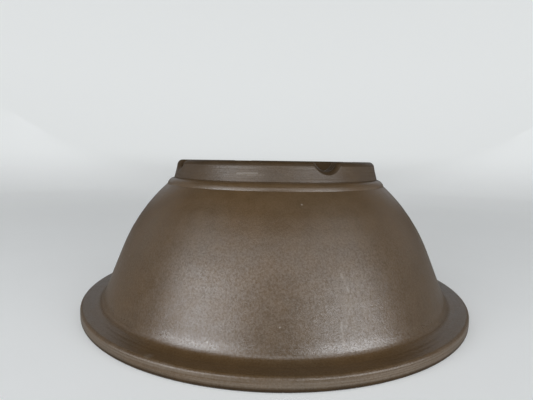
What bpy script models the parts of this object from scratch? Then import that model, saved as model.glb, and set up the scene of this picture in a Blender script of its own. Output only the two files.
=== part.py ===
"""Round unglazed bonsai pot, standing on its lip with the foot ring on top.

Metres, +Z up.  The origin is the centre of the lip's contact plane and +Z is
the axis of the pot, from the lip to the foot.
"""
import math

import bmesh
import bpy
from mathutils import Matrix, Vector

MM = 0.001

# Driving dimensions
RIM_RADIUS = 150 * MM           # outside of the lip
POT_HEIGHT = 113 * MM           # lip to foot
WALL_THICKNESS = 8 * MM
FIT_GAP = 0.3 * MM              # clearance left between neighbouring pieces
SEGMENTS = 48                   # facets round every turned piece

# Bowl: a spherical cap that runs out tangentially into a straight flare
BOWL_RADIUS = 130 * MM
BOWL_CENTRE_Z = -2.2 * MM
FLARE_ANGLE = math.radians(21.7)        # from the vertical

# Lip
RIM_EDGE_ROUND = 2.4 * MM       # edge that touches the ground
RIM_BAND_TOP = 8.8 * MM
RIM_ARRIS = 2.0 * MM
COVE_FOOT_R = 138.5 * MM        # where the flange starts to climb towards the wall
COVE_FOOT_Z = 8.9 * MM
COVE_FOOT_ROUND = 12 * MM
COVE_HEAD_Z = 10.4 * MM
COVE_RADIUS = 4 * MM
MOUTH_ROUND = 15 * MM
RIM_JOINT_Z = 16 * MM

# Step between bowl and foot
BEAD_BOTTOM_Z = 94.0 * MM
BEAD_TOP_Z = 99.0 * MM
BEAD_LOWER_RADIUS = 87.0 * MM
BEAD_UPPER_RADIUS = 86.45 * MM
BEAD_SHOULDER_Z = 98.0 * MM
BEAD_ROUND = 5.4 * MM

# Foot ring
FOOT_BASE_OUTER = 82.0 * MM
FOOT_TOP_OUTER = 78.9 * MM
FOOT_BASE_INNER = 68.5 * MM
FOOT_TOP_INNER = 70.0 * MM
FOOT_OUTER_ROUND = 3.5 * MM
FOOT_INNER_ROUND = 2.0 * MM
NOTCH_COUNT = 4
NOTCH_RADIUS = 9.7 * MM
NOTCH_DEPTH = 6.4 * MM
NOTCH_ROUND = 2.5 * MM          # easing where a notch meets the outer face
NOTCH_BEARING = math.radians(26.0)      # from -Y towards +X

# Floor slab
FLOOR_RADIUS = 78.7 * MM
DRAIN_RADIUS = 12 * MM
DRAIN_PITCH_RADIUS = 38 * MM
TIE_HOLE_RADIUS = 2.5 * MM
TIE_HOLE_PITCH_RADIUS = 52 * MM

# Drain screen
SCREEN_CELLS = 5
SCREEN_PITCH = 7 * MM
SCREEN_BAR = 1.8 * MM
SCREEN_THICKNESS = 1.2 * MM

# Wire clip
WIRE_RADIUS = 0.75 * MM
CLIP_LEG_X = SCREEN_PITCH       # each leg passes the cell beside the middle one
CLIP_LEG_REACH = 19 * MM
CLIP_LOOP_X = 16.5 * MM
CLIP_LOOP_Y = 6 * MM
CLIP_LOOP_ROUND = 3.5 * MM
CLIP_LEG_ROUND = 1.8 * MM


def clear_scene():
    for old in list(bpy.data.objects):
        bpy.data.objects.remove(old, do_unlink=True)


def material(name, colour, roughness, metallic=0.0):
    made = bpy.data.materials.new(name)
    made.use_nodes = True
    surface = made.node_tree.nodes["Principled BSDF"]
    surface.inputs["Base Color"].default_value = (*colour, 1.0)
    surface.inputs["Roughness"].default_value = roughness
    surface.inputs["Metallic"].default_value = metallic
    made.diffuse_color = (*colour, 1.0)
    return made


def add_object(name, bm, surface):
    bmesh.ops.recalc_face_normals(bm, faces=bm.faces)
    mesh = bpy.data.meshes.new(name)
    bm.to_mesh(mesh)
    bm.free()
    mesh.shade_smooth()
    mesh.set_sharp_from_angle(angle=math.radians(35))
    mesh.materials.append(surface)
    made = bpy.data.objects.new(name, mesh)
    bpy.context.scene.collection.objects.link(made)
    return made


# Outlines.  A turned piece is drawn as (radius, height) points.

def rounded(corners, steps=4):
    """Closed outline from (r, z, fillet) corners, each fillet drawn as an arc."""
    points = []
    for index, (r, z, fillet) in enumerate(corners):
        here = Vector((r, z))
        if not fillet:
            points.append(here)
            continue
        before = Vector(corners[index - 1][:2])
        after = Vector(corners[(index + 1) % len(corners)][:2])
        points.extend(arc_corner(before, here, after, fillet, steps))
    return points


def arc_corner(before, here, after, fillet, steps):
    """Points of the arc that rounds the corner at here; in two or three dimensions."""
    back = (before - here).normalized()
    ahead = (after - here).normalized()
    half = back.angle(ahead) / 2
    start = here + back * fillet / math.tan(half)
    centre = here + (back + ahead).normalized() * fillet / math.sin(half)
    along = -back
    outward = (start - centre).normalized()
    sweep = math.pi - 2 * half
    return [centre + fillet * (outward * math.cos(sweep * step / steps)
                               + along * math.sin(sweep * step / steps))
            for step in range(steps + 1)]


def sphere_height_at(distance, radius):
    return BOWL_CENTRE_Z + math.sqrt(radius ** 2 - distance ** 2)


def flare_radius_at(height, radius):
    """Radius of the straight flare that leaves a bowl of the given radius."""
    tangent_r = radius * math.cos(FLARE_ANGLE)
    tangent_z = BOWL_CENTRE_Z + radius * math.sin(FLARE_ANGLE)
    return tangent_r + (tangent_z - height) * math.tan(FLARE_ANGLE)


def bowl_arc(radius, top_z, steps):
    """Spherical stretch of a bowl, from the flare up to top_z."""
    top_angle = math.asin((top_z - BOWL_CENTRE_Z) / radius)
    angles = [FLARE_ANGLE + (top_angle - FLARE_ANGLE) * step / steps for step in range(steps + 1)]
    return [Vector((radius * math.cos(a), BOWL_CENTRE_Z + radius * math.sin(a))) for a in angles]


def spun(outline, segments):
    """Closed body made by a full turn of an outline about the z axis.

    The outline may be closed, or end on the axis at both ends.
    """
    bm = bmesh.new()
    verts = [bm.verts.new((p[0], 0, p[1])) for p in outline]
    on_axis = outline[0][0] == 0
    edges = [bm.edges.new((verts[i - 1], verts[i])) for i in range(int(on_axis), len(verts))]
    bmesh.ops.spin(bm, geom=verts + edges, cent=(0, 0, 0), axis=(0, 0, 1),
                   angle=2 * math.pi, steps=segments, use_merge=True)
    bmesh.ops.remove_doubles(bm, verts=bm.verts, dist=0.00001)
    return bm


def turned(name, outline, surface):
    """Piece made by turning a closed outline about the pot's axis."""
    return add_object(name, spun(outline, SEGMENTS), surface)


def bearing(angle, radius, height=0.0):
    """Point at an angle from -Y towards +X."""
    return Vector((radius * math.sin(angle), -radius * math.cos(angle), height))


def cylinder_cutter(name, radius, depth, matrix, segments=24):
    bm = bmesh.new()
    bmesh.ops.create_cone(bm, cap_ends=True, segments=segments, radius1=radius,
                          radius2=radius, depth=depth, matrix=matrix)
    return add_cutter(name, bm)


def add_cutter(name, bm):
    bmesh.ops.recalc_face_normals(bm, faces=bm.faces)
    if bm.calc_volume(signed=True) < 0:
        bmesh.ops.reverse_faces(bm, faces=bm.faces)
    mesh = bpy.data.meshes.new(name)
    bm.to_mesh(mesh)
    bm.free()
    cutter = bpy.data.objects.new(name, mesh)
    bpy.context.scene.collection.objects.link(cutter)
    cutter.hide_render = True
    cutter.display_type = "WIRE"
    return cutter


def cut(target, cutter):
    boolean = target.modifiers.new(cutter.name, "BOOLEAN")
    boolean.operation = "DIFFERENCE"
    boolean.solver = "EXACT"
    boolean.object = cutter


# Sub-parts

def rim_flange(clay):
    """Flared lip: contact ring, edge band, flat flange and the cove up to the wall."""
    inner = BOWL_RADIUS - WALL_THICKNESS
    corners = [
        (flare_radius_at(RIM_JOINT_Z, inner), RIM_JOINT_Z, 0),
        (flare_radius_at(0, inner), 0, MOUTH_ROUND),
        (RIM_RADIUS, 0, RIM_EDGE_ROUND),
        (RIM_RADIUS, RIM_BAND_TOP, RIM_ARRIS),
        (COVE_FOOT_R, COVE_FOOT_Z, COVE_FOOT_ROUND),
        (flare_radius_at(COVE_HEAD_Z, BOWL_RADIUS), COVE_HEAD_Z, COVE_RADIUS),
        (flare_radius_at(RIM_JOINT_Z, BOWL_RADIUS), RIM_JOINT_Z, 0),
    ]
    return turned("rim_flange", rounded(corners), clay)


def bowl_wall(clay):
    """Shell of the bowl, from the lip joint to the land that carries floor and step."""
    base_z = RIM_JOINT_Z + FIT_GAP
    land_z = BEAD_BOTTOM_Z - FIT_GAP / 2
    land_r = FLOOR_RADIUS + FIT_GAP
    inner = BOWL_RADIUS - WALL_THICKNESS
    outline = [Vector((flare_radius_at(base_z, BOWL_RADIUS), base_z))]
    outline += bowl_arc(BOWL_RADIUS, land_z, 9)
    outline += [Vector((land_r, land_z))]
    outline += reversed(bowl_arc(inner, sphere_height_at(land_r, inner), 8))
    outline += [Vector((flare_radius_at(base_z, inner), base_z))]
    return turned("bowl_wall", outline, clay)


def foot_bead(clay):
    """Rounded step round the top of the bowl, below the foot."""
    base_z = BEAD_BOTTOM_Z + FIT_GAP / 2
    inner_r = FLOOR_RADIUS + FIT_GAP
    corners = [
        (inner_r, base_z, 0),
        (BEAD_LOWER_RADIUS, base_z, 0),
        (BEAD_UPPER_RADIUS, BEAD_SHOULDER_Z, BEAD_ROUND),
        (FOOT_BASE_OUTER, BEAD_TOP_Z, 0),
        (inner_r, BEAD_TOP_Z, 0),
    ]
    return turned("foot_bead", rounded(corners, steps=5), clay)


def notch_cutter(name, angle):
    """Bore that crosses the foot along its radius and flares out where it meets the outer face."""
    bore = NOTCH_RADIUS
    flared = NOTCH_RADIUS + NOTCH_ROUND
    inside = FOOT_BASE_INNER - NOTCH_ROUND
    outside = FOOT_BASE_OUTER + NOTCH_ROUND
    face = (FOOT_BASE_OUTER + FOOT_TOP_OUTER) / 2
    turns = [math.pi / 2 * step / 5 for step in range(6)]
    flare = [Vector((flared - NOTCH_ROUND * math.cos(turn),
                     face - NOTCH_ROUND * (1 - math.sin(turn)))) for turn in turns]
    outline = [Vector((0, inside)), Vector((bore, inside))] + flare
    outline += [Vector((flared, outside)), Vector((0, outside))]
    bm = spun(outline, 32)
    axis_z = POT_HEIGHT - NOTCH_DEPTH + NOTCH_RADIUS
    turn = Matrix.Rotation(angle, 4, "Z") @ Matrix.Rotation(math.pi / 2, 4, "X")
    bm.transform(Matrix.Translation((0, 0, axis_z)) @ turn)
    return add_cutter(name, bm)


def notch_bearings():
    return [NOTCH_BEARING + 2 * math.pi * k / NOTCH_COUNT for k in range(NOTCH_COUNT)]


def foot_ring(clay):
    """Tapered foot with a half-moon notch cut through it at each notch bearing."""
    base_z = BEAD_TOP_Z + FIT_GAP
    corners = [
        (FOOT_BASE_INNER, base_z, 0),
        (FOOT_BASE_OUTER, base_z, 0),
        (FOOT_TOP_OUTER, POT_HEIGHT, FOOT_OUTER_ROUND),
        (FOOT_TOP_INNER, POT_HEIGHT, FOOT_INNER_ROUND),
    ]
    ring = turned("foot_ring", rounded(corners), clay)
    for number, angle in enumerate(notch_bearings(), start=1):
        cut(ring, notch_cutter(f"notch_cutter_{number}", angle))
    return ring


def floor_inner_z():
    """Height of the floor's planting side, flush with the end of the inner wall."""
    return sphere_height_at(FLOOR_RADIUS + FIT_GAP, BOWL_RADIUS - WALL_THICKNESS)


def base_floor(clay):
    """Floor slab with a drain hole behind each notch and a tie-wire hole between."""
    low = floor_inner_z()
    bm = bmesh.new()
    bmesh.ops.create_cone(bm, cap_ends=True, segments=SEGMENTS, radius1=FLOOR_RADIUS,
                          radius2=FLOOR_RADIUS, depth=BEAD_TOP_Z - low,
                          matrix=Matrix.Translation((0, 0, (BEAD_TOP_Z + low) / 2)))
    slab = add_object("base_floor", bm, clay)
    half_turn = math.pi / NOTCH_COUNT
    for number, angle in enumerate(notch_bearings(), start=1):
        drain = Matrix.Translation(bearing(angle, DRAIN_PITCH_RADIUS, POT_HEIGHT))
        cut(slab, cylinder_cutter(f"drain_cutter_{number}", DRAIN_RADIUS, POT_HEIGHT, drain))
        tie = Matrix.Translation(bearing(angle + half_turn, TIE_HOLE_PITCH_RADIUS, POT_HEIGHT))
        cut(slab, cylinder_cutter(f"tie_cutter_{number}", TIE_HOLE_RADIUS, POT_HEIGHT, tie, 12))
    return slab


def screen_bmesh():
    """Square grid plate with its upper face at z = 0, pierced right through."""
    lines = []
    for cell in range(SCREEN_CELLS + 1):
        middle = (cell - SCREEN_CELLS / 2) * SCREEN_PITCH
        lines += [middle - SCREEN_BAR / 2, middle + SCREEN_BAR / 2]
    bm = bmesh.new()
    grid = [[bm.verts.new((x, y, 0)) for y in lines] for x in lines]
    for i in range(len(lines) - 1):
        for j in range(len(lines) - 1):
            if i % 2 and j % 2:
                continue
            bm.faces.new((grid[i][j], grid[i + 1][j], grid[i + 1][j + 1], grid[i][j + 1]))
    extruded = bmesh.ops.extrude_face_region(bm, geom=bm.faces[:])
    moved = [item for item in extruded["geom"] if isinstance(item, bmesh.types.BMVert)]
    bmesh.ops.translate(bm, verts=moved, vec=(0, 0, -SCREEN_THICKNESS))
    return bm


def drain_mesh(number, angle, plastic):
    """Plastic screen against the planting side of the floor, over one drain hole."""
    screen = add_object(f"drain_mesh_{number}", screen_bmesh(), plastic)
    screen.location = bearing(angle, DRAIN_PITCH_RADIUS, floor_inner_z() - FIT_GAP)
    screen.rotation_euler.z = angle
    return screen


def clip_path():
    """Centre line of the clip: leg, left loop, crossing, right loop, leg; z = 0 at the screen."""
    over = BEAD_TOP_Z - floor_inner_z() + 2 * FIT_GAP + WIRE_RADIUS
    under = -SCREEN_THICKNESS - FIT_GAP - WIRE_RADIUS
    bends = [
        (-CLIP_LEG_X, 0, over, CLIP_LEG_ROUND),
        (-CLIP_LEG_X, 0, under, CLIP_LEG_ROUND),
        (-CLIP_LOOP_X, -CLIP_LOOP_Y, under, CLIP_LOOP_ROUND),
        (-CLIP_LOOP_X, CLIP_LOOP_Y, under, CLIP_LOOP_ROUND),
    ]
    bends += [(-x, -y, z, fillet) for x, y, z, fillet in reversed(bends)]
    tips = [Vector((-CLIP_LEG_REACH, 0, over)), Vector((CLIP_LEG_REACH, 0, over))]
    spots = [tips[0]] + [Vector(bend[:3]) for bend in bends] + [tips[1]]
    points = [tips[0]]
    for index, bend in enumerate(bends, start=1):
        points += arc_corner(spots[index - 1], spots[index], spots[index + 1], bend[3], 4)
    return points + [tips[1]]


def mesh_clip(number, angle, wire):
    """Bent wire that holds a screen: two loops on the soil side, two legs through the hole."""
    curve = bpy.data.curves.new(f"mesh_clip_{number}", "CURVE")
    curve.dimensions = "3D"
    curve.bevel_depth = WIRE_RADIUS
    curve.bevel_resolution = 1
    curve.use_fill_caps = True
    path = clip_path()
    spline = curve.splines.new("POLY")
    spline.points.add(len(path) - 1)
    for point, spot in zip(spline.points, path):
        point.co = (*spot, 1)
    curve.materials.append(wire)
    clip = bpy.data.objects.new(f"mesh_clip_{number}", curve)
    bpy.context.scene.collection.objects.link(clip)
    clip.location = bearing(angle, DRAIN_PITCH_RADIUS, floor_inner_z() - FIT_GAP)
    clip.rotation_euler.z = angle
    return clip


def build():
    clear_scene()
    clay = material("brown_stoneware", (0.125, 0.085, 0.055), 0.45)
    plastic = material("black_screen_plastic", (0.02, 0.02, 0.02), 0.5)
    wire = material("brown_aluminium_wire", (0.35, 0.24, 0.17), 0.35, 1.0)
    rim_flange(clay)
    bowl_wall(clay)
    foot_bead(clay)
    foot_ring(clay)
    base_floor(clay)
    for number, angle in enumerate(notch_bearings(), start=1):
        drain_mesh(number, angle, plastic)
        mesh_clip(number, angle, wire)


build()
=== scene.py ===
import math

import bmesh
import bpy
import numpy as np
from mathutils import Matrix, Vector


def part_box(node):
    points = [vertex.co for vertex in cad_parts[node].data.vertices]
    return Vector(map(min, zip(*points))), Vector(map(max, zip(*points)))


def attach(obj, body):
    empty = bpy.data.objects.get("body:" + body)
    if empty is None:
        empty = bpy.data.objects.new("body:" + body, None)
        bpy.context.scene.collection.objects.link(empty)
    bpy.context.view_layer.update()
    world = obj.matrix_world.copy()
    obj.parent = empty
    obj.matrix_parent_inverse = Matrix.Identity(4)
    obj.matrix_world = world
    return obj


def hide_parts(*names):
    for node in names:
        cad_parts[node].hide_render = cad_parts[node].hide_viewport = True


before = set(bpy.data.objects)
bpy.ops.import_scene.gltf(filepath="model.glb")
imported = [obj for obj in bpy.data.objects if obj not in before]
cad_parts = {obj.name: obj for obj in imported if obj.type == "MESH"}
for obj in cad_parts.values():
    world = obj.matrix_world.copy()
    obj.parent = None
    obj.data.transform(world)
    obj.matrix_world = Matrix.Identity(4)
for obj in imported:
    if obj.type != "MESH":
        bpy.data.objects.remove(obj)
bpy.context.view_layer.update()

MM = 0.001
TURN = 2 * math.pi

# Sizes read from the frame
RIM_RADIUS, _, RIM_JOINT_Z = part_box("rim_flange")[1]
BEAD_RADIUS, _, BEAD_TOP_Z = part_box("foot_bead")[1]
FLOOR_RADIUS, _, FLOOR_HIGH_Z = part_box("base_floor")[1]
POT_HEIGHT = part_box("foot_ring")[1].z
BEAD_BOTTOM_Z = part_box("foot_bead")[0].z
FLOOR_LOW_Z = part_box("base_floor")[0].z
SCREEN_LOW_Z, SCREEN_HIGH_Z = (corner.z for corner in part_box("drain_mesh_1"))
CLIP_LOW_Z, CLIP_HIGH_Z = (corner.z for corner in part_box("mesh_clip_1"))

# Bowl: a spherical cap that runs out tangentially into a straight flare
BOWL_RADIUS = 130 * MM
BOWL_CENTRE_Z = -2.2 * MM
FLARE_ANGLE = math.radians(21.7)
WALL_THICKNESS = 8 * MM
OUTER_SPACING = (1.4 * MM, 1.2 * MM)  # between outline points, on the sphere and the flare
INNER_SPACING = (2.0 * MM, 1.6 * MM)

# Lip
BAND_TOP_Z = 8.8 * MM
BAND_ARRIS = 2.0 * MM
EDGE_ROUND = 2.4 * MM
# Painted shade: below this height the lip is darkened and dulled, where its bottom edge meets the
# floor
LIP_SHADE_Z = 3.6 * MM
COVE_RADIUS = 4 * MM
COVE_FOOT_R = 138.5 * MM
COVE_FOOT_Z = 8.9 * MM
COVE_FOOT_ROUND = 12 * MM
COVE_HEAD_Z = 10.4 * MM
MOUTH_ROUND = 15 * MM
BAND_MIDDLE_Z = 5.2 * MM
BAND_HALF_HEIGHT = 3.4 * MM
BAND_SWELL = 0.15 * MM
RIM_SPACING = (0.5 * MM, 0.35 * MM)  # between outline points, on runs and on fillets
RIM_EDGES = [  # worn arrises: radius, height, reach
    (RIM_RADIUS, BAND_TOP_Z - 0.3 * MM, 1.2 * MM),
    (RIM_RADIUS - 0.8 * MM, 0.8 * MM, 2.0 * MM),
]

# Step and foot
BEAD_UPPER_RADIUS = 86.45 * MM
BEAD_SHOULDER_Z = 98.0 * MM
BEAD_ROUND = 5.5 * MM
BEAD_SPACING = (0.35 * MM, 0.3 * MM)
BEAD_EDGES = [(BEAD_RADIUS, BEAD_BOTTOM_Z + 0.4 * MM, 0.9 * MM)]
GROOVE_RADIUS = 82.1 * MM
GROOVE_HALF_WIDTH = 0.55 * MM
GROOVE_DEPTH = 0.5 * MM
GROOVE_ROUND = 0.2 * MM
GROOVE_LIP = 0.05 * MM
GROOVE_LIP_ROUND = 0.25 * MM
FOOT_UNDERCUT = 0.45 * MM  # shadow gap where the foot stands on the step
FOOT_UNDERCUT_REACH = 0.8 * MM
FOOT_BASE_RADIUS = 82.0 * MM
FOOT_TOP_RADIUS = 78.9 * MM
FOOT_TAPER_POWER = 1.4
FOOT_INNER_BASE = 68.5 * MM
FOOT_INNER_TOP = 70.0 * MM
FOOT_INNER_COVE = 3 * MM
FOOT_OUTER_ARRIS = 3.5 * MM
FOOT_INNER_ARRIS = 2.0 * MM
FOOT_OUTER_ROWS = 29
FOOT_INNER_ROWS = 25
FOOT_ARRIS_ROWS = 9
FOOT_INNER_ARRIS_ROWS = 7
FOOT_OUTER_CROWDING = 1.4  # rows crowd towards the step
FOOT_INNER_CROWDING = 1.3
FLAT_STEPS = 26  # points along the foot's top between two notches

# Notches in the foot, at even bearings
NOTCH_COUNT = 4
NOTCH_BEARING = math.radians(26.0)
NOTCH_RADIUS = 9.7 * MM
NOTCH_DEPTH = 6.4 * MM
NOTCH_SHOULDER = 3.0 * MM
NOTCH_REFERENCE = 79.5 * MM  # radius at which the notch has its full width
NOTCH_ARRIS = 2.5 * MM
NOTCH_CHAMFER = 0.75  # how far its outer arris is a chamfer rather than round
NOTCH_CHAMFER_SIDE = 0.75  # the chamfer fades towards one side of the notch
NOTCH_BLEND = 2 * MM
NOTCH_STEPS = 12
NOTCH_ROWS = 15
NOTCH_MARKS = 2.6  # tool marks across the notch's cut face
NOTCH_MARK = 0.20 * MM

# Floor and its holes
FLOOR_RINGS = 65
DRAIN_RADIUS = 12 * MM
DRAIN_PITCH = 38 * MM
DRAIN_SEGMENTS = 64
TIE_RADIUS = 2.5 * MM
TIE_PITCH = 52 * MM
TIE_SEGMENTS = 32
HOLE_LIP = 1.2 * MM
HOLE_SPACING = 0.25 * MM
CUTTER_REACH = 3 * MM
CUTTER_CLEAR = 0.01 * MM

# Screens and clips
SCREEN_CELLS = 15
SCREEN_PITCH = 7 * MM / 3
SCREEN_BAR = 0.62 * MM
SCREEN_BEVEL = 0.14 * MM
SCREEN_SHARP = 0.8  # edges that fold by more, in radians, are bevelled
WIRE_RADIUS = 0.75 * MM
WIRE_SPACING = 0.45 * MM
WIRE_SIDES = 14
WIRE_END = 0.25 * MM
WIRE_END_SHARES = (0.55, 0.92)  # the wire's radius at its end and just after it
CLIP_LEG_X = 7 * MM
CLIP_LEG_ROUND = 1.8 * MM
CLIP_LOOP_X = 16.5 * MM
CLIP_LOOP_Y = 6 * MM
CLIP_LOOP_ROUND = 3.5 * MM
CLIP_LEG_REACH = 18.5 * MM
CLIP_LEANS = (0.9, -1.1, 0.4, -0.5)  # how far each clip's leg tips are bent, in mm

SEGMENTS = 288

# Largest angle in degrees between faces that are shaded as one smooth surface
CLAY_SMOOTH = 38
FLOOR_SMOOTH = 40
SCREEN_SMOOTH = 30
WIRE_SMOOTH = 50

# Relief of the thrown clay: depth, pitch and phase of its turning lines
BAND_LINES = (0.05 * MM, 1.5 * MM, 0.7)
FLANGE_LINES = (0.05 * MM, 3.1 * MM, 2.0)
MOUTH_LINES = (0.10 * MM, 7 * MM, 1.0)
WALL_LINES = (0.03 * MM, 9 * MM, 2.6)
INNER_WALL_LINES = (0.22 * MM, 7.5 * MM, 0.4)
BEAD_LINES = (0.04 * MM, 2.4 * MM, 1.9)
FOOT_LINES = (0.03 * MM, 1.9 * MM, 0.3)
FLOOR_HIGH_LINES = (0.07 * MM, 4.6 * MM, 0.2)
FLOOR_LOW_LINES = (0.06 * MM, 9 * MM, 1.2)
WOBBLE = 0.22 * MM

# Where the relief and some marks lie, along z or r: from, to, softness
BAND_ZONE = (EDGE_ROUND, BAND_TOP_Z - BAND_ARRIS, 1 * MM)
FLANGE_ZONE = (138 * MM, 148 * MM, 3 * MM)
MOUTH_ZONE = (6 * MM, 1, 4 * MM)
WALL_ZONE = (24 * MM, 86 * MM, 10 * MM)
INNER_WALL_ZONE = (22 * MM, 84 * MM, 8 * MM)
BEAD_ZONE = (BEAD_BOTTOM_Z + 1 * MM, BEAD_TOP_Z, 1 * MM)
FOOT_ZONE = (BEAD_TOP_Z + 0.5 * MM, POT_HEIGHT - 3 * MM, 1 * MM)
FLOOR_ZONE = (3 * MM, FOOT_INNER_BASE - 3 * MM, 4 * MM)
BAND_PALE_ZONE = (0.5 * EDGE_ROUND, BAND_TOP_Z, 1.5 * MM)
POLISH_ZONE = (12 * MM, 16 * MM, 6 * MM)
LIP_SHADE_SOFT = 1.3 * MM

# Marks carried by the meshes, between 0 and 1; a pair is for the outer and the inner side
MARKS = ("burnish", "turning", "edge", "dust", "band", "polish", "soil")
CLAY_BURNISH = (1.0, 0.25)
WALL_TURNING = (0.12, 0.6)
BAND_TURNING = (1.0, 0.25)  # on the lip's band and elsewhere on the lip
BEAD_TURNING = 0.5
FLOOR_BURNISH = 0.35
FLOOR_TURNING = 0.2
FOOT_BURNISH = (0.85, 0.5)
FOOT_TURNING = (0.9, 0.5)
# Painted shade on the foot: a little on its outer face, strongly on its inner face, which is seen
# through the notches
FOOT_SHADE = (0.55, 0.9)
NOTCH_BURNISH = 0.8
NOTCH_WEAR = 0.35
WEAR_CORE = 0.3  # share of a worn arris's reach that is fully worn
DUST_SMEAR = (21.0, 7.0, 34 * MM, 24 * MM)  # bearing, half width, height, half height
DUST_SMEAR_SHARE = 0.10

# Clay colours
CLAY = (0.092, 0.054, 0.0225)
CLAY_WARM = (0.099, 0.056, 0.0215)
CLAY_GREY = (0.086, 0.054, 0.0265)
CLAY_RAW = (0.112, 0.072, 0.037)
# Dark colour laid on as painted shade
CLAY_PAINTED_SHADE = (0.040, 0.025, 0.013)
CLAY_WORN = (0.150, 0.108, 0.070)
DUST = (0.46, 0.42, 0.36)
IRON = (0.030, 0.020, 0.014)

# Clay noise: scale per metre, octaves, roughness
CLOUDS = (14, 3, 0.55)
MOTTLE = (120, 3, 0.6)
GRAIN = (800, 3, 0.65)
FINE_GRAIN = (1300, 2, 0.7)
CRINKLE = (330, 3, 0.6)
WEAR = (55, 4, 0.6)
SHADE_NOISE = (70, 3, 0.5)
RINGS = (1, 2, 0.6)
RING_STRETCH = (9, 9, 900)
STREAKS = (1, 3, 0.6)
STREAK_STRETCH = (420, 420, 45)

# Specks: cells per metre, size in cells, patches per metre, patch range, share of colour
IRON_SPECKS = (260, 0.10, 45, (0.50, 0.70), 0.22)
PALE_SPECKS = (92, 0.05, 31, (0.60, 0.72), 0.25)

# Clay strengths
CLAY_SHARE = 0.45
TONE_MOTTLE = 0.08
TONE_GRAIN = 0.05
WEAR_SHARE = 0.6
PAINTED_SHADE_SHARE = (0.75, 0.98)
DUST_SHARE = (0.15, 1.0)
RING_PALENESS = (0.03, 0.15)
SCRATCH_SHARE = (0.4, 1.0)
RING_BUMP = (0.22 * MM, 0.9)  # distance and strength
GRAIN_BUMP = (0.10 * MM, 0.9)
CRINKLE_BUMP = (0.12 * MM, 0.6)
ROUGHNESS = (0.32, 0.40)
ROUGHNESS_GRAIN = 0.03
ROUGHNESS_RINGS = 0.05
ROUGHNESS_CHANGES = {"raw": 0.35, "band": 0.08, "polish": -0.06, "dusty": 0.3}
SHEEN = 0.80
SHEEN_GRAIN = 0.26
SHEEN_FINE = 0.13
SHEEN_RAW = 0.35  # share of the sheen left on unburnished clay
SHEEN_SHADED = 0.15  # and under painted shade
SHEEN_POLISH = 0.42  # extra share in the polished strip above the cove
SPARKLE_LOW_Z = 50 * MM  # the grain sparkles fully below this height
SPARKLE_HIGH_Z = 85 * MM  # and faintly above this one
SPARKLE_HIGH = 0.3

# Screens and clips: noise, colours, roughness, bump
PLASTIC_SHADE = (420, 3, 0.6)
PLASTIC_SPECKLE = (900, 2, 0.5)
PLASTIC_COLOURS = ((0.016, 0.017, 0.018), (0.034, 0.034, 0.033))
PLASTIC_ROUGHNESS = (0.38, 0.6)
PLASTIC_BUMP = (0.03 * MM, 0.6)
WIRE_SHADE = (700, 3, 0.6)
WIRE_SCRATCHES = (1, 2, 0.7)
WIRE_STRETCH = (500, 1800, 1800)
WIRE_COLOURS = ((0.30, 0.19, 0.12), (0.44, 0.30, 0.21))
WIRE_ROUGHNESS = (0.26, 0.48)
WIRE_BUMP = (0.02 * MM, 0.5)

# Pale chips: bearing in degrees, radius, height, size, strength
CHIPS = [
    (10.0, 94.6, 87.0, 0.8, 0.40),
    (1.75, 129.1, 25.0, 0.7, 0.40),
    (-15.25, 132.9, 15.5, 0.7, 0.40),
    (-26.5, 147.2, 9.1, 3.2, 0.12),
    (143.0, 114.1, 61.0, 0.9, 0.40),
    (236.0, 125.5, 34.0, 0.8, 0.40),
]
# Scratches: bearing, radius and height of both ends, width, strength
SCRATCHES = [
    (18.7, 118.9, 50.0, 20.2, 122.7, 41.0, 1.1, 0.16),
    (16.9, 128.7, 26.0, 16.8, 133.4, 14.0, 1.2, 0.14),
    (19.6, 126.3, 32.0, 17.6, 130.3, 22.0, 0.9, 0.08),
    (-17.8, 80.4, 104.5, -8.2, 80.3, 105.0, 0.9, 0.19),
    (-12.5, 80.6, 103.6, -5.0, 80.6, 104.1, 0.7, 0.10),
    (97.0, 126.3, 32.0, 101.0, 122.7, 41.0, 1.0, 0.16),
    (168.0, 80.4, 104.2, 175.0, 80.4, 104.6, 0.8, 0.25),
    (262.0, 131.1, 20.0, 263.0, 126.3, 32.0, 1.0, 0.15),
]

# Camera: a phone's wide lens just above the foot's height; distances in lip radii
CAMERA_DISTANCE = 2.2282
CAMERA_HEIGHT = 0.7557
CAMERA_YAW = math.radians(-1.174)
CAMERA_PITCH = math.radians(-5.668)
CAMERA_ROLL = math.radians(0.888)
SENSOR_WIDTH = 36
LENS = 27.05

# Studio: name, bearing, elevation, width and height in degrees, power
LIGHT_DISTANCE = 1.25
LIGHT_AIM = 0.4  # aimed at this share of the pot's height
LIGHT_COLOUR = (0.97, 1.0, 1.04)
LIGHTS = [
    ("window_left", -42, 12, 42, 13, 5.75),
    ("window_right", 44.5, 7.5, 43, 13, 5.9),
    ("upper_left", -43, 35, 54, 32, 4.45),
    ("upper_right", 44, 36, 54, 34, 4.15),
    ("upper_middle", 0, 35, 26, 36, 1.35),
    ("side_left", -108, 20, 34, 30, 0.4),
    ("side_right", 108, 20, 34, 30, 0.4),
    ("back", 180, 26, 80, 36, 2.3),
]
WORLD_COLOUR = (0.95, 0.98, 1.0, 1.0)
WORLD_STRENGTH = 0.02

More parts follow.
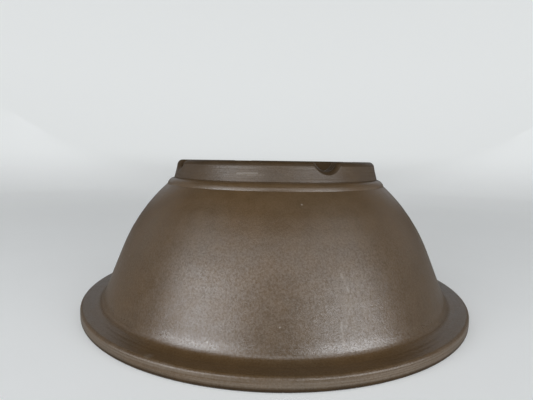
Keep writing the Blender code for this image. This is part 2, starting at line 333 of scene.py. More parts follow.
# Stage: a flat floor that curves up into a surround
STAGE_SIDES = 96
STAGE_FLAT = 1.2  # where the floor starts to curve up
STAGE_FLAT_STEPS = 60
STAGE_CURVE = 0.5
STAGE_CURVE_STEPS = 16
STAGE_RIM_STEPS = 6
STAGE_RIM_STEP = 0.25
STAGE_BLEND_Z = 0.16  # the surround's look is reached at this height
SURROUND_GREY = (0.30, 0.30, 0.30)
STAGE_SHADE = (0.10, 0.10, 0.10)
FLOOR_NOISE = (6, 3, 0.5)
FLOOR_COLOURS = ((0.70, 0.70, 0.685), (0.74, 0.74, 0.73))
FLOOR_GRAIN = (30, 2, 0.5)
FLOOR_ROUGHNESS = (0.55, 0.65)
GLOW_COLOUR = (0.97, 1.0, 1.0)
SURROUND_GLOW = 0.50
FLOOR_GLOW = 0.14
FLOOR_LIFT = 0.09
FAR_LIFT = 0.14
FAR_LIFT_FROM = 0.3
FAR_LIFT_TO = 1.7
MIRROR_DIM = 0.5  # how much the stage is dimmed where the pot mirrors it
LAMP_SHADE = 0.92  # and on the floor right under the low lamps
LAMP_SHADE_FROM = -0.25
LAMP_SHADE_TO = -0.75
UNDER_POT_SOFT = 12 * MM


# ---- outlines

def polar(centre, radius, angle):
    return (centre[0] + radius * math.cos(angle), centre[1] + radius * math.sin(angle))


def arc(centre, radius, start, end, spacing):
    """Points along an arc, about one spacing apart, both ends included."""
    steps = max(2, math.ceil(abs(end - start) * radius / spacing))
    return [polar(centre, radius, start + (end - start) * k / steps) for k in range(steps + 1)]


def line(start, end, spacing):
    """Points from start up to, but not including, end."""
    steps = max(1, math.ceil(math.dist(start, end) / spacing))
    return [tuple(a + (b - a) * k / steps for a, b in zip(start, end)) for k in range(steps)]


def rounded(corners, spacing, arc_spacing):
    """Dense closed outline from (r, z, fillet) corners: straight runs between filleted corners."""
    bends = []
    for index, (r, z, fillet) in enumerate(corners):
        here = Vector((r, z))
        if not fillet:
            bends.append([tuple(here)])
            continue
        before = Vector(corners[index - 1][:2])
        after = Vector(corners[(index + 1) % len(corners)][:2])
        bends.append(fillet_arc(before, here, after, fillet, arc_spacing))
    points = []
    for bend, next_bend in zip(bends, bends[1:] + bends[:1]):
        points += bend + line(bend[-1], next_bend[0], spacing)[1:]
    return points


def fillet_arc(before, here, after, fillet, spacing):
    """Points along the fillet of the corner at here, in the plane or in space."""
    back = (before - here).normalized()
    ahead = (after - here).normalized()
    half = back.angle(ahead) / 2
    centre = here + (back + ahead).normalized() * fillet / math.sin(half)
    start = here + back * fillet / math.tan(half)
    outward = (start - centre).normalized()
    sweep = math.pi - 2 * half
    steps = max(4, math.ceil(sweep * fillet / spacing))
    return [tuple(centre + fillet * (outward * math.cos(sweep * k / steps)
                                     - back * math.sin(sweep * k / steps)))
            for k in range(steps + 1)]


def flare_radius_at(z, radius):
    """Radius of the straight flare of a wall whose sphere has the given radius."""
    tangent_r = radius * math.cos(FLARE_ANGLE)
    tangent_z = BOWL_CENTRE_Z + radius * math.sin(FLARE_ANGLE)
    return tangent_r + (tangent_z - z) * math.tan(FLARE_ANGLE)


def sphere_angle_at(z, radius):
    return math.asin((z - BOWL_CENTRE_Z) / radius)


# ---- clay relief

def turning_lines(lines, at, angle):
    """Uneven turning lines along z or r, in metres; lines is their depth, pitch and phase."""
    depth, pitch, phase = lines
    drift = 0.35 * np.sin(angle + phase) + 0.2 * np.sin(3 * angle + 2 * phase)
    wave = np.sin(TURN * at / pitch + drift + phase)
    slower = np.sin(TURN * at / (pitch * 2.7) - 1.7 * drift + 2.1 * phase)
    return depth * (0.6 * wave + 0.4 * slower)


def hand_wobble(z, angle):
    """Slow unevenness of a thrown wall, in metres."""
    height = np.clip(z / POT_HEIGHT, 0, 1)
    lift = np.sin(math.pi * height) ** 2
    return WOBBLE * lift * (np.sin(angle - 0.4) + 0.5 * np.sin(2 * angle + 1.1 + 3 * height)
                            + 0.25 * np.sin(5 * angle + 6 * height))


def smooth_band(value, low, high, soft):
    """1 inside low to high, falling to 0 over soft on both sides."""
    rise = np.clip((value - low) / soft + 0.5, 0, 1)
    fall = np.clip((high - value) / soft + 0.5, 0, 1)
    band = np.minimum(rise, fall)
    return band * band * (3 - 2 * band)


# ---- meshes

def add_object(name, data):
    made = bpy.data.objects.new(name, data)
    bpy.context.scene.collection.objects.link(made)
    return made


def link(name, mesh, material):
    mesh.materials.append(material)
    return add_object(name, mesh)


def set_marks(mesh, marks, shape):
    """Store per-point marks; each is a number or an array that spreads to the shape."""
    for key, values in marks.items():
        layer = mesh.attributes.new(key, "FLOAT", "POINT")
        values = np.broadcast_to(values, shape).astype(np.float32)
        layer.data.foreach_set("value", values.ravel())


def grid_mesh(name, points, marks):
    """Closed mesh from points[row][column]; both directions wrap round."""
    rows, columns = points.shape[:2]
    index = np.arange(rows * columns).reshape(rows, columns)
    after_row = np.roll(index, -1, axis=0)
    after_column = np.roll(index, -1, axis=1)
    both = np.roll(after_row, -1, axis=1)
    faces = np.stack([index, after_column, both, after_row], axis=-1).reshape(-1, 4)
    mesh = bpy.data.meshes.new(name)
    mesh.from_pydata(points.reshape(-1, 3).tolist(), [], faces.tolist())
    set_marks(mesh, marks, (rows, columns))
    face_outwards(mesh)
    smooth(mesh, CLAY_SMOOTH)
    return mesh


def ring_mesh(name, rings, lid=True):
    """Mesh through rings of points; its first ring is filled, and its last one with a lid."""
    bm = bmesh.new()
    rings = [[bm.verts.new(point) for point in ring] for ring in rings]
    for lower, upper in zip(rings, rings[1:]):
        for k in range(len(lower)):
            after = (k + 1) % len(lower)
            bm.faces.new((lower[k], lower[after], upper[after], upper[k]))
    bm.faces.new(rings[0])
    if lid:
        bm.faces.new(rings[-1])
    bmesh.ops.recalc_face_normals(bm, faces=bm.faces)
    mesh = bpy.data.meshes.new(name)
    bm.to_mesh(mesh)
    bm.free()
    return mesh


def circle(radius, z, sides):
    return [Vector((radius * math.cos(TURN * k / sides), radius * math.sin(TURN * k / sides), z))
            for k in range(sides)]


def face_outwards(mesh):
    bm = bmesh.new()
    bm.from_mesh(mesh)
    bmesh.ops.recalc_face_normals(bm, faces=bm.faces)
    bm.to_mesh(mesh)
    bm.free()


def smooth(mesh, degrees):
    mesh.shade_smooth()
    mesh.set_sharp_from_angle(angle=math.radians(degrees))


def outline_normals(outline):
    """Unit normals of a closed outline, pointing out of the solid."""
    ahead = np.roll(outline, -1, axis=0) - outline
    behind = outline - np.roll(outline, 1, axis=0)
    tangent = ahead / np.linalg.norm(ahead, axis=1)[:, None]
    tangent += behind / np.linalg.norm(behind, axis=1)[:, None]
    tangent /= np.maximum(np.linalg.norm(tangent, axis=1), 1e-9)[:, None]
    normal = np.stack([tangent[:, 1], -tangent[:, 0]], axis=1)
    x, z = outline[:, 0], outline[:, 1]
    area = np.sum(x * np.roll(z, -1) - np.roll(x, -1) * z)
    return normal if area > 0 else -normal


def turned(name, outline, clay, relief, turning, edges=()):
    """Clay piece turned about Z from a closed outline; relief moves its surface along the normal.

    relief is a function of (r, z, angle, normal_r, normal_z) and turning one of (z, normal_r).
    """
    outline = np.array(outline)
    normal = outline_normals(outline)
    angle = np.arange(SEGMENTS)[None, :] * TURN / SEGMENTS
    r = np.repeat(outline[:, :1], SEGMENTS, axis=1)
    z = np.repeat(outline[:, 1:], SEGMENTS, axis=1)
    normal_r = normal[:, :1]
    normal_z = normal[:, 1:]
    push = relief(r, z, angle, normal_r, normal_z)
    new_r = r + push * normal_r + hand_wobble(z, angle)
    new_z = z + push * normal_z
    points = np.stack([new_r * np.sin(angle), -new_r * np.cos(angle), new_z], axis=-1)
    marks = clay_marks(r, z, angle, normal_r, edges)
    marks["turning"] = turning(z, normal_r)
    return link(name, grid_mesh(name, points, marks), clay)


# ---- materials

class Nodes:
    """Small helper that adds and wires shader nodes."""

    def __init__(self, name):
        self.material = bpy.data.materials.new(name)
        self.material.use_nodes = True
        self.tree = self.material.node_tree
        self.surface = self.tree.nodes["Principled BSDF"]
        self.place = self.add("ShaderNodeTexCoord").outputs["Object"]

    def add(self, kind, **settings):
        node = self.tree.nodes.new(kind)
        for key, value in settings.items():
            setattr(node, key, value)
        return node

    def put(self, value, socket):
        """Wire another node's output into a socket, or set the socket to a constant."""
        if isinstance(value, bpy.types.NodeSocket):
            self.tree.links.new(value, socket)
        elif socket.type == "RGBA":
            socket.default_value = (*value, 1.0)
        else:
            socket.default_value = value

    def math(self, operation, *values, clamp=False):
        node = self.add("ShaderNodeMath", operation=operation, use_clamp=clamp)
        for value, socket in zip(values, node.inputs):
            self.put(value, socket)
        return node.outputs[0]

    def vector(self, operation, *values):
        node = self.add("ShaderNodeVectorMath", operation=operation)
        for value, socket in zip(values, node.inputs):
            self.put(value, socket)
        return node.outputs

    def scaled(self, vector, factor):
        node = self.add("ShaderNodeVectorMath", operation="SCALE")
        self.put(vector, node.inputs[0])
        self.put(factor, node.inputs["Scale"])
        return node.outputs[0]

    def stretched(self, scale):
        """Object position multiplied by a scale along each axis."""
        return self.vector("MULTIPLY", self.place, scale)[0]

    def coordinates(self):
        node = self.add("ShaderNodeSeparateXYZ")
        self.put(self.place, node.inputs[0])
        return node.outputs

    def noise(self, scale, detail, roughness, vector=None):
        node = self.add("ShaderNodeTexNoise")
        self.put(vector or self.place, node.inputs["Vector"])
        self.put(scale, node.inputs["Scale"])
        self.put(detail, node.inputs["Detail"])
        self.put(roughness, node.inputs["Roughness"])
        return node.outputs["Fac"]

    def distance_to(self, start, end):
        """Distance from the shaded point to a segment or a point, in object space."""
        if start == end:
            return self.vector("DISTANCE", self.place, start)["Value"]
        away = self.vector("SUBTRACT", self.place, start)[0]
        run = end - start
        share = self.vector("DOT_PRODUCT", away, run / run.length_squared)["Value"]
        along = self.scaled(run, self.math("ADD", share, 0.0, clamp=True))
        return self.vector("DISTANCE", away, along)["Value"]

    def ramp(self, value, low, high, low_out=0.0, high_out=1.0):
        """Smooth change from low_out at low to high_out at high."""
        node = self.add("ShaderNodeMapRange", interpolation_type="SMOOTHSTEP")
        names = ("Value", "From Min", "From Max", "To Min", "To Max")
        for name, number in zip(names, (value, low, high, low_out, high_out)):
            self.put(number, node.inputs[name])
        return node.outputs["Result"]

    def mix(self, share, first, second):
        """Blend of two colours; a share of 1 gives the second."""
        node = self.add("ShaderNodeMix", data_type="RGBA")
        for value, slot in ((share, 0), (first, 6), (second, 7)):
            self.put(value, node.inputs[slot])
        return node.outputs[2]

    def attribute(self, name):
        return self.add("ShaderNodeAttribute", attribute_name=name).outputs["Fac"]

    def bump(self, height, distance, strength, under=None):
        node = self.add("ShaderNodeBump")
        self.put(strength, node.inputs["Strength"])
        self.put(distance, node.inputs["Distance"])
        self.put(height, node.inputs["Height"])
        if under is not None:
            self.put(under, node.inputs["Normal"])
        return node.outputs["Normal"]

    def finish(self, colour, roughness, normal=None):
        self.put(colour, self.surface.inputs["Base Color"])
        self.put(roughness, self.surface.inputs["Roughness"])
        if normal is not None:
            self.put(normal, self.surface.inputs["Normal"])
        return self.material


def stoneware():
    """Unglazed brown stoneware: burnished outside, rawer inside, with grain, specks and wear."""
    n = Nodes("brown_stoneware")
    marks = {name: n.attribute(name) for name in MARKS}
    marks["raw"] = n.math("SUBTRACT", 1.0, marks["burnish"], clamp=True)
    streaks = n.noise(*STREAKS, vector=n.stretched(STREAK_STRETCH))
    marks["dusty"] = n.math("MULTIPLY", marks["dust"], n.ramp(streaks, 0.35, 0.70, *DUST_SHARE))
    texture = {
        "mottle": n.noise(*MOTTLE),
        "grain": n.noise(*GRAIN),
        "fine": n.noise(*FINE_GRAIN),
        "rings": n.noise(*RINGS, vector=n.stretched(RING_STRETCH)),
    }
    n.put(clay_sheen(n, marks, texture), n.surface.inputs["Specular IOR Level"])
    colour = clay_colour(n, marks, texture)
    return n.finish(colour, clay_roughness(n, marks, texture), clay_bumps(n, marks, texture))


def clay_colour(n, marks, texture):
    """Clouded and mottled clay, with each mark laid over the ones before it."""
    clouds = n.ramp(n.noise(*CLOUDS), 0.35, 0.65)
    colour = n.mix(CLAY_SHARE, n.mix(clouds, CLAY_WARM, CLAY_GREY), CLAY)
    mottling = n.ramp(texture["mottle"], 0.25, 0.75, 1 - TONE_MOTTLE, 1 + TONE_MOTTLE)
    grain = n.ramp(texture["grain"], 0.2, 0.8, -TONE_GRAIN, TONE_GRAIN)
    colour = n.scaled(colour, n.math("ADD", mottling, grain))
    worn = n.math("MULTIPLY", marks["edge"], n.ramp(n.noise(*WEAR), 0.42, 0.66, 0.0, WEAR_SHARE))
    # painted shade: a dark colour in noisy patches; where it lies, the pale ring lines are left off
    soiled = n.math("MULTIPLY", marks["soil"], n.ramp(n.noise(*SHADE_NOISE), 0.3, 0.7, *PAINTED_SHADE_SHARE))
    unshaded = n.math("SUBTRACT", 1.0, marks["soil"], clamp=True)
    # pale ring lines that lighten the lip's band
    ringed = n.math("MULTIPLY", marks["band"], n.ramp(texture["rings"], 0.38, 0.62, *RING_PALENESS))
    layers = [
        (marks["raw"], CLAY_RAW),
        (specks(n, *IRON_SPECKS), IRON),
        (specks(n, *PALE_SPECKS), DUST),
        (worn, CLAY_WORN),
        (soiled, CLAY_PAINTED_SHADE),
        (marks["dusty"], DUST),
        (n.math("MULTIPLY", ringed, unshaded), DUST),
    ]
    layers += [(share, DUST) for share in (*chips(n), *scratches(n, texture))]
    for share, over in layers:
        colour = n.mix(share, colour, over)
    return colour


def specks(n, scale, size, patch_scale, patch_range, share):
    """Share of round specks that gather in patches."""
    cells = n.add("ShaderNodeTexVoronoi")
    n.put(n.place, cells.inputs["Vector"])
    n.put(scale, cells.inputs["Scale"])
    speck = n.ramp(cells.outputs["Distance"], size, 2 * size, 1.0, 0.0)
    return n.math("MULTIPLY", speck, n.ramp(n.noise(patch_scale, 1, 0.5), *patch_range, 0.0, share))


def chips(n):
    for bearing, radius, height, size, strength in CHIPS:
        place = bearing_point(math.radians(bearing), radius * MM, height * MM)
        yield n.ramp(n.distance_to(place, place), 0.3 * size * MM, size * MM, strength, 0.0)


def scratches(n, texture):
    for from_bearing, from_r, from_z, to_bearing, to_r, to_z, width, strength in SCRATCHES:
        start = bearing_point(math.radians(from_bearing), from_r * MM, from_z * MM)
        end = bearing_point(math.radians(to_bearing), to_r * MM, to_z * MM)
        share = n.ramp(n.distance_to(start, end), 0.2 * width * MM, width * MM, strength, 0.0)
        yield n.math("MULTIPLY", share, n.ramp(texture["mottle"], 0.3, 0.6, *SCRATCH_SHARE))


def clay_roughness(n, marks, texture):
    rough = n.ramp(texture["mottle"], 0.2, 0.8, *ROUGHNESS)
    grain = n.ramp(texture["grain"], 0.25, 0.75, -ROUGHNESS_GRAIN, ROUGHNESS_GRAIN)
    rings = n.ramp(texture["rings"], 0.35, 0.65, -ROUGHNESS_RINGS, ROUGHNESS_RINGS)
    rough = n.math("MULTIPLY_ADD", marks["turning"], rings, n.math("ADD", rough, grain))
    for name, change in ROUGHNESS_CHANGES.items():
        rough = n.math("MULTIPLY_ADD", marks[name], change, rough)
    return n.math("ADD", rough, 0.0, clamp=True)


def clay_bumps(n, marks, texture):
    normal = n.bump(n.math("MULTIPLY", texture["rings"], marks["turning"]), *RING_BUMP)
    normal = n.bump(texture["fine"], *GRAIN_BUMP, normal)
    return n.bump(n.noise(*CRINKLE), *CRINKLE_BUMP, normal)


def clay_sheen(n, marks, texture):
    """Specular level: sparkling grain low on the wall, duller on raw clay and under painted shade.
    """
    sparkle = n.math("ADD", n.ramp(texture["grain"], 0.3, 0.7, -SHEEN_GRAIN, SHEEN_GRAIN),
                     n.ramp(texture["fine"], 0.3, 0.7, -SHEEN_FINE, SHEEN_FINE))
    height = n.coordinates()["Z"]
    strength = n.ramp(height, SPARKLE_LOW_Z, SPARKLE_HIGH_Z, 1.0, SPARKLE_HIGH)
    sheen = n.math("MULTIPLY_ADD", sparkle, strength, SHEEN)
    burnished = n.math("MULTIPLY_ADD", marks["burnish"], 1 - SHEEN_RAW, SHEEN_RAW)
    # painted shade also dulls the sheen
    soiled = n.ramp(marks["soil"], 0.4, 1.0, 1.0, SHEEN_SHADED)
    polished = n.math("MULTIPLY_ADD", marks["polish"], SHEEN_POLISH, 1.0)
    for share in (burnished, soiled, polished):
        sheen = n.math("MULTIPLY", sheen, share)
    return sheen


def screen_plastic():
    """Matt black moulded plastic."""
    n = Nodes("black_screen_plastic")
    shade = n.noise(*PLASTIC_SHADE)
    colour = n.mix(n.ramp(shade, 0.3, 0.7), *PLASTIC_COLOURS)
    rough = n.ramp(n.noise(*PLASTIC_SPECKLE), 0.2, 0.8, *PLASTIC_ROUGHNESS)
    return n.finish(colour, rough, n.bump(shade, *PLASTIC_BUMP))


def clip_wire():
    """Brown aluminium wire with fine scratches."""
    n = Nodes("brown_aluminium_wire")
    n.put(1.0, n.surface.inputs["Metallic"])
    colour = n.mix(n.ramp(n.noise(*WIRE_SHADE), 0.3, 0.7), *WIRE_COLOURS)
    lines = n.noise(*WIRE_SCRATCHES, vector=n.stretched(WIRE_STRETCH))
    rough = n.ramp(lines, 0.3, 0.7, *WIRE_ROUGHNESS)
    return n.finish(colour, rough, n.bump(lines, *WIRE_BUMP))


# ---- clay pieces

def bearing_point(angle, radius, z):
    return Vector((radius * math.sin(angle), -radius * math.cos(angle), z))


def edge_mask(z, r, spots):
    """Wear on round arrises: each spot is (radius, height, reach)."""
    mask = np.zeros(r.shape)
    for spot_r, spot_z, reach in spots:
        distance = np.hypot(r - spot_r, z - spot_z)
        mask = np.maximum(mask, np.clip(1 + WEAR_CORE - distance / reach, 0, 1))
    return mask


def smear(angle, z, bearing, half_width, height, half_height):
    """Soft elongated patch on a turned surface."""
    gap = (angle - math.radians(bearing) + math.pi) % TURN - math.pi
    across = gap / math.radians(half_width)
    along = (z - height) / half_height
    return np.clip(1 - across ** 2 - along ** 2, 0, 1)


def clay_marks(r, z, angle, normal_r, edges):
    """Where a turned clay piece is burnished, worn and dusty, and where painted shade darkens its
    lip's bottom edge.
    """
    face = normal_r > 0
    return {
        "burnish": np.where(face, *CLAY_BURNISH),
        "edge": edge_mask(z, r, edges),
        "dust": DUST_SMEAR_SHARE * smear(angle, z, *DUST_SMEAR) * face,
        "band": smooth_band(z, *BAND_PALE_ZONE) * (normal_r > 0.9),
        "polish": smooth_band(z, *POLISH_ZONE) * face,
        # painted shade at the lip's bottom edge, where it meets the floor
        "soil": np.clip((LIP_SHADE_Z - z) / LIP_SHADE_SOFT, 0, 1),
    }


def build_rim(clay):
    """Lip: a flat band as its edge, a flange and a cove up to the wall."""
    inner = BOWL_RADIUS - WALL_THICKNESS
    corners = [
        (flare_radius_at(RIM_JOINT_Z, inner), RIM_JOINT_Z, 0),
        (flare_radius_at(0, inner), 0, MOUTH_ROUND),
        (RIM_RADIUS, 0, EDGE_ROUND),
        (RIM_RADIUS, BAND_TOP_Z, BAND_ARRIS),
        (COVE_FOOT_R, COVE_FOOT_Z, COVE_FOOT_ROUND),
        (flare_radius_at(COVE_HEAD_Z, BOWL_RADIUS), COVE_HEAD_Z, COVE_RADIUS),
        (flare_radius_at(RIM_JOINT_Z, BOWL_RADIUS), RIM_JOINT_Z, 0),
    ]
    outline = rounded(corners, *RIM_SPACING)

    def relief(r, z, angle, normal_r, normal_z):
        on_band = (normal_r > 0.9) * smooth_band(z, *BAND_ZONE)
        on_flange = (normal_z > 0.9) * smooth_band(r, *FLANGE_ZONE)
        inside = (normal_r < -0.2) * smooth_band(z, *MOUTH_ZONE)
        hollow = BAND_SWELL * ((z - BAND_MIDDLE_Z) / BAND_HALF_HEIGHT) ** 2
        return (on_band * (turning_lines(BAND_LINES, z, angle) - hollow)
                + on_flange * turning_lines(FLANGE_LINES, r, angle)
                + inside * turning_lines(MOUTH_LINES, z, angle))

    def turning(z, normal_r):
        return np.where((normal_r > 0.75) & (z < BAND_TOP_Z), *BAND_TURNING)

    return turned("rim_flange_fine", outline, clay, relief, turning, RIM_EDGES)


def build_wall(clay):
    """Bowl wall: concentric spheres that run out into the flare, and a land under the step."""
    inner = BOWL_RADIUS - WALL_THICKNESS
    top = sphere_angle_at(BEAD_BOTTOM_Z, BOWL_RADIUS)
    centre = (0, BOWL_CENTRE_Z)
    outer_arc = arc(centre, BOWL_RADIUS, FLARE_ANGLE, top, OUTER_SPACING[0])
    inner_top = math.acos(FLOOR_RADIUS / inner)
    inner_arc = arc(centre, inner, inner_top, FLARE_ANGLE, INNER_SPACING[0])
    start = (flare_radius_at(RIM_JOINT_Z, BOWL_RADIUS), RIM_JOINT_Z)
    inner_end = (flare_radius_at(RIM_JOINT_Z, inner), RIM_JOINT_Z)
    outline = line(start, outer_arc[0], OUTER_SPACING[1]) + outer_arc
    outline += [(FLOOR_RADIUS, BEAD_BOTTOM_Z)] + inner_arc
    outline += line(inner_arc[-1], inner_end, INNER_SPACING[1])[1:] + [inner_end]

    def relief(r, z, angle, normal_r, normal_z):
        inside = (normal_r < -0.1) * smooth_band(z, *INNER_WALL_ZONE)
        outside = (normal_r > 0.1) * smooth_band(z, *WALL_ZONE)
        return (inside * turning_lines(INNER_WALL_LINES, z, angle)
                + outside * turning_lines(WALL_LINES, z, angle))

    def turning(z, normal_r):
        return np.where(normal_r > 0, *WALL_TURNING)

    return turned("bowl_wall_fine", outline, clay, relief, turning)


def build_bead(clay):
    """Rounded step between bowl and foot, with a fine groove round the foot's base."""
    corners = [
        (FLOOR_RADIUS, BEAD_BOTTOM_Z, 0),
        (BEAD_RADIUS, BEAD_BOTTOM_Z, 0),
        (BEAD_UPPER_RADIUS, BEAD_SHOULDER_Z, BEAD_ROUND),
        (GROOVE_RADIUS + GROOVE_HALF_WIDTH, BEAD_TOP_Z - GROOVE_LIP, GROOVE_LIP_ROUND),
        (GROOVE_RADIUS, BEAD_TOP_Z - GROOVE_DEPTH, GROOVE_ROUND),
        (GROOVE_RADIUS - GROOVE_HALF_WIDTH, BEAD_TOP_Z, 0),
        (FLOOR_RADIUS, BEAD_TOP_Z, 0),
    ]
    outline = rounded(corners, *BEAD_SPACING)

    def relief(r, z, angle, normal_r, normal_z):
        side = (normal_r > 0.2) * smooth_band(z, *BEAD_ZONE)
        return side * turning_lines(BEAD_LINES, z, angle)

    def turning(z, normal_r):
        return BEAD_TURNING

    return turned("foot_bead_fine", outline, clay, relief, turning, BEAD_EDGES)


def notch_bearings():
    return [NOTCH_BEARING + TURN * k / NOTCH_COUNT for k in range(NOTCH_COUNT)]


def notch_path():
    """One notch and its shoulders as (along, up, normal along, normal up), seen from outside."""
    centre_up = NOTCH_RADIUS - NOTCH_DEPTH
    reach = NOTCH_RADIUS + NOTCH_SHOULDER
    shoulder_x = math.sqrt(reach ** 2 - (centre_up + NOTCH_SHOULDER) ** 2)
    swing = math.atan2(shoulder_x, centre_up + NOTCH_SHOULDER)
    path = []
    for k in range(NOTCH_STEPS + 1):
        lean = math.pi / 2 - swing * k / NOTCH_STEPS
        path.append((-shoulder_x + NOTCH_SHOULDER * math.cos(lean),
                     -NOTCH_SHOULDER + NOTCH_SHOULDER * math.sin(lean),
                     -math.cos(lean), -math.sin(lean)))
    bottom = []
    for k in range(1, 2 * NOTCH_STEPS):
        turn = swing * k / NOTCH_STEPS - swing
        bottom.append((NOTCH_RADIUS * math.sin(turn), centre_up - NOTCH_RADIUS * math.cos(turn),
                       math.sin(turn), -math.cos(turn)))
    mirror = [(-x, up, -nx, nz) for x, up, nx, nz in reversed(path)]
    return path + bottom + mirror


def foot_top_path():
    """The foot's upper edge all the way round: (angle, height, normal along, normal up)."""
    notch = notch_path()
    half = -notch[0][0] / NOTCH_REFERENCE
    spread = TURN / NOTCH_COUNT - 2 * half
    path = []
    for bearing in notch_bearings():
        path += [(bearing + x / NOTCH_REFERENCE, POT_HEIGHT + up, nx, nz)
                 for x, up, nx, nz in notch]
        path += [(bearing + half + spread * k / FLAT_STEPS, POT_HEIGHT, 0.0, -1.0)
                 for k in range(1, FLAT_STEPS)]
    return np.array(path)


def foot_outer_radius(z):
    """Hollow outer face of the foot, undercut where it meets the step."""
    share = np.clip((z - BEAD_TOP_Z) / (POT_HEIGHT - BEAD_TOP_Z), 0, 1)
    undercut = FOOT_UNDERCUT * np.clip(1 - (z - BEAD_TOP_Z) / FOOT_UNDERCUT_REACH, 0, 1)
    taper = (FOOT_BASE_RADIUS - FOOT_TOP_RADIUS) * (1 - share) ** FOOT_TAPER_POWER
    return FOOT_TOP_RADIUS + taper - undercut


def foot_inner_radius(z):
    """Inner face of the foot, with a small cove where it meets the floor."""
    share = (z - BEAD_TOP_Z) / (POT_HEIGHT - BEAD_TOP_Z)
    face = FOOT_INNER_BASE + (FOOT_INNER_TOP - FOOT_INNER_BASE) * share
    low = np.clip(FOOT_INNER_COVE - (z - BEAD_TOP_Z), 0, FOOT_INNER_COVE)
    return face - (FOOT_INNER_COVE - np.sqrt(FOOT_INNER_COVE ** 2 - low ** 2))


def build_foot(clay):
    """Foot ring: rows of points up its outer face, over the notched top and down inside."""
    angle, top, along, up = foot_top_path().T
    rows = []

    def add_row(at_angle, z, r, edge, burnish):
        rows.append([value * np.ones_like(top) for value in (at_angle, z, r, edge, burnish)])

    def contour(offset):
        return angle + offset * along / NOTCH_REFERENCE, top + offset * up

    def add_face(offset, shares, radius_at, burnish):
        """Rows between the step and the contour at an offset from the top edge."""
        at, face_top = contour(offset)
        for share in shares:
            z = BEAD_TOP_Z + (face_top - BEAD_TOP_Z) * share
            add_row(at, z, radius_at(z), 0.0, burnish)

    outer_burnish, inner_burnish = FOOT_BURNISH
    in_notch = np.clip((POT_HEIGHT - top) / NOTCH_BLEND, 0, 1)
    arris = FOOT_OUTER_ARRIS + (NOTCH_ARRIS - FOOT_OUTER_ARRIS) * in_notch
    shares = np.linspace(0, 1, FOOT_OUTER_ROWS + 1)[:-1] ** FOOT_OUTER_CROWDING
    add_face(arris, shares, foot_outer_radius, outer_burnish)

    flat = NOTCH_CHAMFER * in_notch * np.clip(NOTCH_CHAMFER_SIDE - along, 0, 1)
    for share in np.linspace(0, 1, FOOT_ARRIS_ROWS):
        turn = share * math.pi / 2
        rest = (1 - math.sin(turn)) * (1 - flat) + (1 - share) * flat
        inset = arris * ((1 - math.cos(turn)) * (1 - flat) + share * flat)
        at, z = contour(arris * rest)
        add_row(at, z, foot_outer_radius(z) - inset, math.sin(2 * turn), outer_burnish)

    outer_flat = foot_outer_radius(top) - arris
    inner_flat = foot_inner_radius(top) + FOOT_INNER_ARRIS
    for share in np.linspace(0, 1, NOTCH_ROWS + 2)[1:-1]:
        mark = NOTCH_MARK * math.sin(TURN * NOTCH_MARKS * share) * math.sin(math.pi * share)
        r = outer_flat + (inner_flat - outer_flat) * share
        add_row(angle, top + in_notch * mark, r, NOTCH_WEAR, NOTCH_BURNISH)

    for turn in np.linspace(math.pi / 2, 0, FOOT_INNER_ARRIS_ROWS):
        at, z = contour(FOOT_INNER_ARRIS * (1 - math.sin(turn)))
        inset = FOOT_INNER_ARRIS * (1 - math.cos(turn))
        add_row(at, z, foot_inner_radius(z) + inset, math.sin(2 * turn), inner_burnish)
    shares = np.linspace(1, 0, FOOT_INNER_ROWS + 1)[1:] ** FOOT_INNER_CROWDING
    add_face(FOOT_INNER_ARRIS, shares, foot_inner_radius, 0.0)

    at, z, r, edge, burnish = (np.array(part) for part in zip(*rows))
    outside = np.arange(len(rows))[:, None] <= FOOT_OUTER_ROWS
    lines = outside * turning_lines(FOOT_LINES, z, at) * smooth_band(z, *FOOT_ZONE)
    r = r + lines + hand_wobble(z, at)
    points = np.stack([r * np.sin(at), -r * np.cos(at), z], axis=-1)
    marks = {
        "burnish": burnish,
        "edge": edge,
        "turning": np.where(outside, *FOOT_TURNING),
        # painted shade on the foot's faces, strongest inside it
        "soil": np.where(outside, *FOOT_SHADE),
    }
    return link("foot_ring_fine", grid_mesh("foot_ring_fine", points, marks), clay)


def hole_cutter(name, radius, centre, segments):
    """Cutter for a round hole whose edges are eased where they meet both faces of the floor."""
    low, high = FLOOR_LOW_Z, FLOOR_HIGH_Z
    wide = radius + HOLE_LIP
    side = [(wide + CUTTER_REACH / 5, low - CUTTER_REACH), (wide, low - CUTTER_CLEAR)]
    side += arc((wide, low + HOLE_LIP), HOLE_LIP, -math.pi / 2, -math.pi, HOLE_SPACING)[1:]
    side += arc((wide, high - HOLE_LIP), HOLE_LIP, math.pi, math.pi / 2, HOLE_SPACING)[:-1]
    side += [(wide, high + CUTTER_CLEAR), (wide + CUTTER_REACH / 5, high + CUTTER_REACH)]
    rings = [[centre + point for point in circle(r, z, segments)] for r, z in side]
    return add_object(name, ring_mesh(name, rings))


